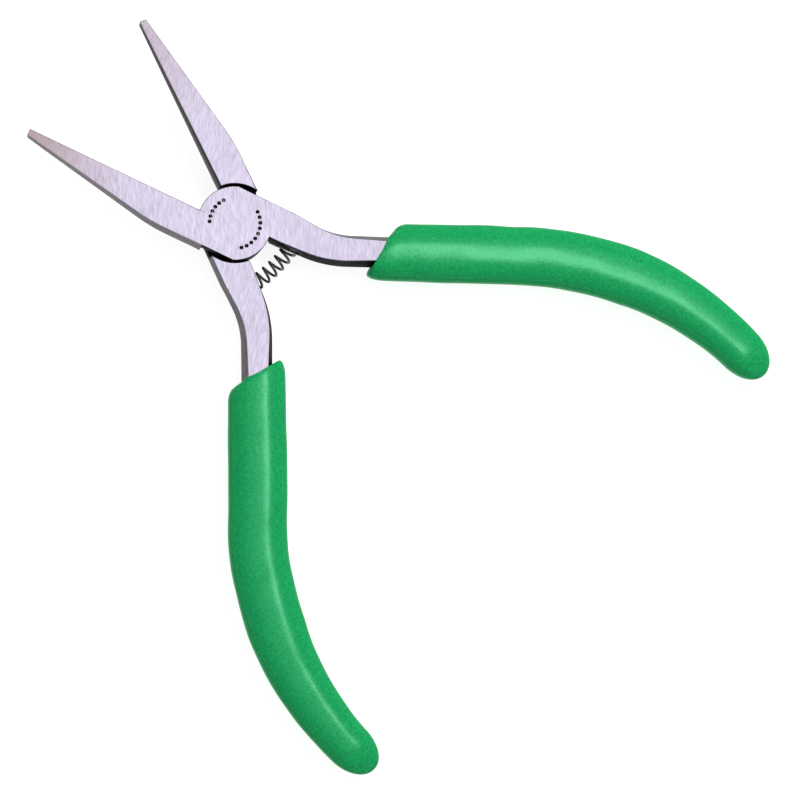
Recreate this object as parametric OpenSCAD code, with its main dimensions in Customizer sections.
// Slim flat nose pliers with a lap joint, a coil return spring and dipped vinyl grips.
// Millimetres. The origin is on the pivot axis in the plane that the tool lies on.
// +Y runs from the pivot to the jaw tips, +Z is the thickness, and the jaws open along X.
// Each forged half is drawn as it stands with the jaws closed, then turned to the rest angle.

/* [Joint] */
// Thickness of the joint and of both halves where they meet
joint_thickness = 8; // [7:0.1:9]
// Radius of the round lap that covers the other half
lap_radius = 6; // [5.8:0.05:6.2]
// Gap between the round lap and the hollow shoulder round it
shoulder_gap = 0.42; // [0.35:0.01:0.5]
// Gap between the two lap faces
lap_gap = 0.08; // [0.04:0.01:0.12]
// Angle between the two halves with the spring relaxed
rest_opening = 40; // [30:1:44]

/* [Jaws] */
// Distance from the pivot to the jaw tips
jaw_length = 36.2; // [34:0.1:40]
// Distance from the closing plane to the outer edge at the joint
jaw_root_width = 5.55; // [5.3:0.05:5.8]
// Distance from the closing plane to the outer edge at the tip
jaw_tip_width = 1.22; // [0.8:0.02:1.4]
// Height above the pivot where the straight outer edges would cross
jaw_corner_y = 12.1; // [11:0.1:14]
// Radius that blends the joint's side into the jaw's taper
jaw_blend_radius = 30; // [20:1:40]
// Thickness of the jaw at its tip
jaw_tip_thickness = 3.3; // [2.2:0.1:4]
// Height above the pivot where the jaw starts to thin
jaw_thinning_y = 8.5; // [7.5:0.5:12]
// Gap from the closing plane to the gripping face at the tip
jaw_tip_gap = 0.06; // [0.05:0.01:0.1]
// Gap from the closing plane to the gripping face at the joint
jaw_root_gap = 0.52; // [0.3:0.01:0.7]
// Lean of both jaws to the left of the middle line between the handles
jaw_lean = 0.5; // [0:0.1:1]

/* [Handles] */
// Distance from the closing plane to the inside of the handle
handle_gap = 0.15; // [0.1:0.01:0.3]
// Width of the handle along its widest plane
handle_width = 5.75; // [5.5:0.05:5.9]
// Distance behind the pivot where the handle starts to bend out
bend_start_y = 12; // [11.5:0.1:13]
// Radius of the bend
bend_radius = 17; // [14:0.5:19]
// How far the handle bends out
bend_angle = 24.2; // [22:0.2:26]
// Length of the straight stretch after the bend
straight_length = 28.8; // [26:0.1:32]
// Radius of the curve that brings the handle back in
bow_radius = 54.4; // [50:0.2:60]
// How far the handle turns back in
bow_angle = 48.5; // [44:0.5:50]

/* [Grips] */
// Width of a grip at its mouth
grip_mouth_width = 9.4; // [9:0.1:9.6]
// Widest stretch of a grip, across the handle
grip_width = 9.7; // [9.4:0.1:9.9]
// Width of a grip where its rounded end starts
grip_end_width = 7.6; // [7.2:0.1:8.4]
// Thickness of a grip
grip_thickness = 8; // [7.6:0.1:8.2]
// Distance behind the pivot where the grips start
grip_mouth_y = 23.5; // [22.6:0.1:24]
// Lean of the mouth from square across the closed tool, back towards the outside
mouth_lean = 7.3; // [0:0.1:8]
// Radius of the rounded lip round the mouth
lip_radius = 1.9; // [1.4:0.1:2.2]

/* [Rivet] */
// Radius of the rivet's shank
rivet_radius = 2; // [1.6:0.1:2.2]
// Radius of the rivet's heads at the ground faces
rivet_head_radius = 2.7; // [2.5:0.1:3]
// Running clearance round the rivet in the half that turns on it
rivet_clearance = 0.03; // [0.02:0.01:0.05]

/* [Spring] */
// Diameter of the spring's wire
wire_diameter = 0.46; // [0.4:0.02:0.5]
// Outer diameter of the spring
spring_diameter = 2.85; // [2.6:0.05:2.9]
// Turns of the spring, with its closed ends
spring_turns = 9; // [8:0.5:9.5]
// Turn of the spring's curved axis from one end to the other
spring_bend = 28; // [24:1:32]
// Distance behind the pivot of the holes that hold the spring
pocket_y = 10.05; // [9.5:0.05:10.2]
// Radius of the holes that hold the spring
pocket_radius = 1.7; // [1.65:0.05:1.8]
// Depth of the holes that hold the spring
pocket_depth = 2.4; // [2.2:0.1:2.6]

/* [Hidden] */
$fn = 96;
EPS = 0.01;
REACH = 100;
mid_z = joint_thickness / 2;
half_open = rest_opening / 2;
shoulder_radius = lap_radius + shoulder_gap;
lap_arm_inset = 0.4;
lap_top_z = mid_z + lap_gap / 2;

// The jaw's taper, as the angle of its straight outer edge
taper_angle = atan((jaw_root_width - jaw_tip_width) / (jaw_length - jaw_corner_y));
blend_tangent = jaw_blend_radius * tan(taper_angle / 2);
blend_steps = 6;
tip_corner_radius = 0.15;

// The handle's centre line: straight, bend, straight, bow
centre_x = handle_gap + handle_width / 2;
bend_length = bend_radius * bend_angle * PI / 180;
bow_length = bow_radius * bow_angle * PI / 180;
bend_end_s = bend_start_y + bend_length;
bow_start_s = bend_end_s + straight_length;
path_end_s = bow_start_s + bow_length;
mouth_s = bend_end_s + 5;
root_y = 3.3;
neck_start_s = root_y;
tang_end_s = path_end_s - 5;

// Half sizes of the forged section: [at the joint, at the grip's mouth, at the tang's end]
neck_half_height = [mid_z, 3.2, 2.4];
neck_half_width = [handle_width / 2, 2.53, 2.1];
neck_draft = [0.25, 0.85, 0.7];
neck_fall_s = 8;
parting_half_height = 0.35;

grip_sides = 28;
grip_roundness = 2.6;
grip_end_half_thickness = 3.6;
grip_round_length = 6;
grip_end_shift = 0.3;
grip_swell_length = 15;
grip_taper_start_s = bow_start_s + 18;
grip_start_s = mouth_s - 3;
grip_clearance = 0.04;
lip_depth = [1.25, 0.32];

rivet_head_depth = 0.8;
wire_radius = wire_diameter / 2;
coil_radius = (spring_diameter - wire_diameter) / 2;
spring_end_clearance = 0.15;
spring_lift = -0.18;
spring_end_turns = 1;
spring_rings_per_turn = 16;
wire_sides = 8;

STEEL = [0.86, 0.84, 0.88];
DARK_STEEL = [0.72, 0.71, 0.75];
SPRING_STEEL = [0.55, 0.55, 0.58];
VINYL_GREEN = [0.16, 0.62, 0.36];

// Value that runs from a to b as t runs from 0 to 1
function mix(a, b, t) = a + (b - a) * min(1, max(0, t));

// Value at s for a size given at the joint, at distance full_s and at the tang's end
function along(sizes, full_s, s) =
    s < full_s
        ? mix(sizes[0], sizes[1], (s - neck_fall_s) / (full_s - neck_fall_s))
        : mix(sizes[1], sizes[2], (s - full_s) / (tang_end_s - full_s));

// Heading of the handle's centre line at distance s, away from straight back
function heading(s) =
    s < bend_start_y ? 0
    : s < bend_end_s ? (s - bend_start_y) / bend_length * bend_angle
    : s < bow_start_s ? bend_angle
    : bend_angle - (s - bow_start_s) / bow_length * bow_angle;

bend_end = [centre_x + bend_radius * (1 - cos(bend_angle)), -bend_start_y - bend_radius * sin(bend_angle)];
bow_start = bend_end + straight_length * [sin(bend_angle), -cos(bend_angle)];

mouth_centre_x = bend_end[0] + (grip_mouth_y + bend_end[1]) * tan(bend_angle);

// Point of the handle's centre line at distance s
function centre(s) =
    s < bend_start_y ? [centre_x, -s]
    : s < bend_end_s
        ? [centre_x + bend_radius * (1 - cos(heading(s))), -bend_start_y - bend_radius * sin(heading(s))]
    : s < bow_start_s ? bend_end + (s - bend_end_s) * [sin(bend_angle), -cos(bend_angle)]
    : bow_start + bow_radius * [
        cos(heading(s)) - cos(bend_angle),
        sin(heading(s)) - sin(bend_angle)
    ];

// Point of a section at distance s, u across the handle and v above its middle plane
function section_point(s, u, v) =
    let (c = centre(s), a = heading(s))
    [c[0] + u * cos(a), c[1] + u * sin(a), mid_z + v];

// Distances along the handle from one value to another, both ends included
function stations(from, to, steps) = [for (i = [0:steps]) from + (to - from) * i / steps];

// Solid skin over a list of rings that all have the same number of points
module loft(rings) {
    sides = len(rings[0]);
    count = len(rings);
    points = [for (ring = rings) each ring];
    walls = [
        for (i = [0:count - 2], j = [0:sides - 1])
            let (a = i * sides + j, b = i * sides + (j + 1) % sides)
            each [[a, b + sides, b], [a, a + sides, b + sides]]
    ];
    first_cap = [for (j = [0:sides - 1]) j];
    last_cap = [for (j = [sides - 1:-1:0]) (count - 1) * sides + j];
    polyhedron(points, concat([first_cap, last_cap], walls), convexity = 6);
}

// Forged section: flat ground faces, drafted flanks and a narrow parting band
function forged_ring(s, grow) =
    let (
        h = along(neck_half_height, mouth_s, s) + grow,
        w = along(neck_half_width, bend_end_s, s) + grow,
        d = along(neck_draft, mouth_s, s),
        b = parting_half_height
    )
    [for (p = [[w, b], [w - d, h], [d - w, h], [-w, b], [-w, -b], [d - w, -h], [w - d, -h], [w, -b]])
        section_point(s, p[0], p[1])];

module forged_bar(end_s, grow) {
    neck = [neck_start_s, neck_fall_s, bend_start_y];
    bend = stations(bend_start_y + bend_length / 8, bend_end_s, 7);
    bow = stations(bow_start_s, end_s, 10);
    loft([for (s = concat(neck, bend, [mouth_s], bow)) forged_ring(s, grow)]);
}

// Outline of the jaw from its root to its tip, with the taper blended in by an arc
module jaw_outline() {
    blend_start = [-jaw_root_width, jaw_corner_y - blend_tangent];
    blend_centre = blend_start + [jaw_blend_radius, 0];
    blend = [
        for (i = [0:blend_steps])
            let (a = taper_angle * i / blend_steps)
            blend_centre + jaw_blend_radius * [-cos(a), sin(a)]
    ];
    corner_centre = [tip_corner_radius - jaw_tip_width, jaw_length - tip_corner_radius];
    corner = [
        for (i = [0:4])
            let (a = taper_angle + (90 - taper_angle) * i / 4)
            corner_centre + tip_corner_radius * [-cos(a), sin(a)]
    ];
    polygon(concat(
        [[-jaw_root_gap, root_y], [-jaw_root_width, root_y]],
        blend,
        corner,
        [[-jaw_tip_gap, jaw_length], [-jaw_root_gap, shoulder_radius]]
    ));
}

// Side view of the jaw: full thickness at the joint, thinning evenly to the tip
module jaw_side_view() {
    tip_half = jaw_tip_thickness / 2;
    polygon([
        [0, 0],
        [jaw_thinning_y, 0],
        [jaw_length + EPS, mid_z - tip_half],
        [jaw_length + EPS, mid_z + tip_half],
        [jaw_thinning_y, joint_thickness],
        [0, joint_thickness]
    ]);
}

module jaw() {
    intersection() {
        linear_extrude(joint_thickness) jaw_outline();
        translate([-2 * jaw_root_width, 0, 0])
            rotate([90, 0, 90]) linear_extrude(4 * jaw_root_width) jaw_side_view();
    }
}

// Round lap with its two sides cut back flat, carried on into the jaw and the handle
module lap() {
    side = centre_x + handle_width / 2 - neck_draft[0];
    arm_width = side - rivet_head_radius - lap_arm_inset;
    arm_length = root_y + lap_arm_inset;
    translate([0, 0, lap_top_z]) linear_extrude(joint_thickness - lap_top_z) {
        intersection() {
            circle(r = lap_radius);
            translate([-jaw_root_width, -lap_radius]) square([jaw_root_width + side, 2 * lap_radius]);
        }
        translate([-jaw_root_width, 0]) square([arm_width, arm_length]);
        translate([side - arm_width, -arm_length]) square([arm_width, arm_length]);
    }
}

// Room for the other half's lap under this one
module lap_room() {
    translate([0, 0, -EPS]) cylinder(h = lap_top_z + EPS, r = shoulder_radius);
}

// Blind hole in the inside of the handle that holds one end of the spring
module spring_pocket() {
    translate([0, -pocket_y, mid_z]) rotate([0, 90, 0])
        cylinder(h = handle_gap + pocket_depth, r = pocket_radius);
}

// Hole for the rivet, sunk at the ground face for its head
module rivet_shape(top_z, clearance) {
    radius = rivet_radius + clearance;
    head = rivet_head_radius + clearance;
    sink_z = top_z - rivet_head_depth - clearance;
    translate([0, 0, mid_z]) cylinder(h = top_z - mid_z, r = radius);
    translate([0, 0, sink_z]) cylinder(h = top_z - sink_z, r1 = radius, r2 = head);
}

// One forged half with its lap on top: left jaw, lap and right handle, jaws closed
module forged_half(bore_clearance, lean) {
    difference() {
        union() {
            difference() {
                union() {
                    rotate([0, 0, lean]) jaw();
                    forged_bar(tang_end_s, 0);
                }
                lap_room();
            }
            lap();
        }
        spring_pocket();
        rivet_shape(joint_thickness, bore_clearance);
        translate([0, 0, joint_thickness - EPS])
            cylinder(h = 1, r = rivet_head_radius + bore_clearance);
        translate([0, 0, mid_z - 1]) cylinder(h = 2, r = rivet_radius + bore_clearance);
    }
}

// Puts a part of the top half at the rest angle
module top_side() {
    rotate([0, 0, half_open]) children();
}

// Turns a part of the top half over the long axis, which makes it a part of the bottom half
module bottom_side() {
    translate([0, 0, joint_thickness]) rotate([0, 180, 0]) top_side() children();
}

module top_half() {
    color(STEEL) top_side() forged_half(0, jaw_lean);
}

module bottom_half() {
    color(DARK_STEEL) bottom_side() forged_half(rivet_clearance, -jaw_lean);
}

// Flush rivet: a shank with a sunk head at each ground face
module pivot_rivet() {
    color(STEEL) {
        rivet_shape(joint_thickness, 0);
        translate([0, 0, joint_thickness]) rotate([0, 180, 0]) rivet_shape(joint_thickness, 0);
    }
}

// Distance of a point behind the leaning mouth, along the tool
function behind_mouth(p) = -grip_mouth_y - p[1] - (p[0] - mouth_centre_x) * tan(mouth_lean);

// Share of the lip's rounding left at distance d inside the mouth
function lip(d) =
    d >= lip_radius ? 0 : 1 - sqrt(1 - pow(1 - max(0, d) / lip_radius, 2));

// Coordinate of a rounded section: 1 at the sides, 0 in the middle
function rounded(x) = sign(x) * pow(abs(x), 2 / grip_roundness);

// How much of its size a section keeps in the rounded end
function end_share(s) =
    let (t = max(0, (s - (path_end_s - grip_round_length)) / grip_round_length))
    sqrt(max(0, 1 - t * t));

function grip_point(s, angle) =
    let (
        taper = (s - grip_taper_start_s) / (path_end_s - grip_round_length - grip_taper_start_s),
        full_width = mix(grip_mouth_width, grip_width, (s - mouth_s) / grip_swell_length),
        w = mix(full_width, grip_end_width, taper) / 2 * end_share(s),
        h = mix(grip_thickness / 2, grip_end_half_thickness, taper) * end_share(s),
        shift = -grip_end_shift * pow(max(0, taper), 2),
        x = rounded(cos(angle)),
        y = rounded(sin(angle)),
        inside = behind_mouth(section_point(s, w * x, 0))
    )
    section_point(s, shift + (w - lip_depth[0] * lip(inside)) * x, (h - lip_depth[1] * lip(inside)) * y);

// Closed vinyl sleeve dipped over the handle, with a straight mouth and a rounded lip
module grip_sleeve() {
    mouth = stations(grip_start_s, mouth_s + 5, 12);
    bar = stations(mouth_s + 8, path_end_s - grip_round_length, 14);
    round_end = [for (i = [1:6]) path_end_s - grip_round_length * (1 - sin(i * 14.5))];
    rings = [
        for (s = concat(mouth, bar, round_end))
            [for (j = [0:grip_sides - 1]) grip_point(s, 360 * (j + 0.5) / grip_sides)]
    ];
    difference() {
        loft(rings);
        forged_bar(tang_end_s + 0.2, grip_clearance);
        translate([mouth_centre_x, -grip_mouth_y, 0]) rotate([0, 0, -mouth_lean])
            translate([-REACH / 2, 0, -REACH / 2]) cube(REACH);
    }
}

module top_half_grip() {
    color(VINYL_GREEN) top_side() grip_sleeve();
}

module bottom_half_grip() {
    color(VINYL_GREEN) bottom_side() grip_sleeve();
}

// Spring axis: an arc between the floors of the two holes, bowed away from the pivot
function turned(p, a) = [p[0] * cos(a) - p[1] * sin(a), p[0] * sin(a) + p[1] * cos(a)];
spring_end = turned([handle_gap + pocket_depth - spring_end_clearance, -pocket_y], half_open)
    + [0, spring_lift];
axis_radius = spring_end[0] / sin(spring_bend / 2);
axis_centre_y = spring_end[1] + axis_radius * cos(spring_bend / 2);
axis_length = axis_radius * spring_bend * PI / 180;

// Share of the spring's length passed after a number of turns: closed ends, open middle
function passed(turns) =
    let (
        closed = wire_diameter * 1.04,
        ends = spring_end_turns,
        open_turns = spring_turns - 2 * ends,
        open_length = axis_length - wire_diameter - 2 * ends * closed
    )
    (wire_radius
        + closed * (min(turns, ends) + max(0, turns - (spring_turns - ends)))
        + open_length * min(1, max(0, (turns - ends) / open_turns))) / axis_length;

// Point of the wire's skin after a number of turns, at an angle round the wire
function wire_point(turns, angle) =
    let (
        a = (passed(turns) - 0.5) * spring_bend,
        out = [sin(a), -cos(a), 0],
        along_axis = [cos(a), sin(a), 0],
        up = [0, 0, 1],
        spin = 360 * turns,
        arm = cos(spin) * out + sin(spin) * up,
        middle = [0, axis_centre_y, mid_z] + axis_radius * out + coil_radius * arm
    )
    middle + wire_radius * (cos(angle) * arm + sin(angle) * along_axis);

module return_spring() {
    color(SPRING_STEEL) loft([
        for (i = [0:spring_turns * spring_rings_per_turn])
            [for (j = [0:wire_sides - 1]) wire_point(i / spring_rings_per_turn, 360 * j / wire_sides)]
    ]);
}

top_half();
bottom_half();
pivot_rivet();
return_spring();
top_half_grip();
bottom_half_grip();
